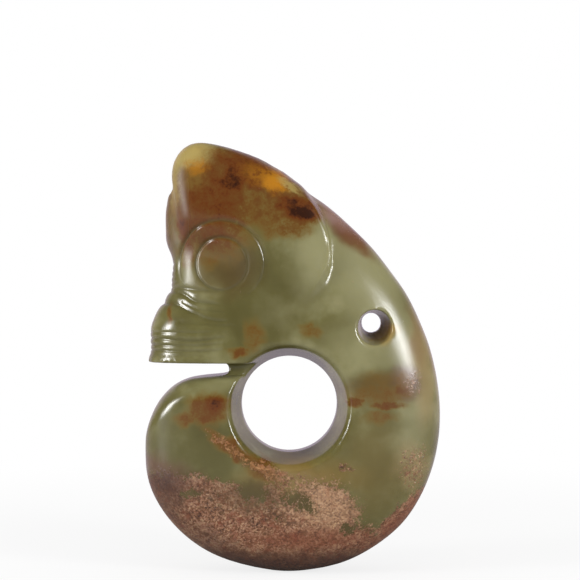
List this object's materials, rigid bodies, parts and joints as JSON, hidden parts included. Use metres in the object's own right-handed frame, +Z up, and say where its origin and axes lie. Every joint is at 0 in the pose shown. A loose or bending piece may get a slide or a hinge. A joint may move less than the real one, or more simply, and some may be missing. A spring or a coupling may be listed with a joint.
{
  "type": "jade pig dragon",
  "caption": "Curled beast carved from one jade pebble, with a large central bore, a sawn gap at the mouth, a suspension hole in the neck and engraved eyes and snout.",
  "frame": {"origin": "centre of the big central bore, half way through the stone", "axes": "+Z up from the foot of the ring to the tips of the ears, +Y along the bore from one flank to the other, -X towards the snout"},
  "size_m": [0.1038, 0.0408, 0.15],
  "materials": {
    "jade": "polished, translucent olive green with russet and pink-brown weathering"
  },
  "bodies": {
    "root": {"jade_body": "jade"}
  },
  "joints": []
}
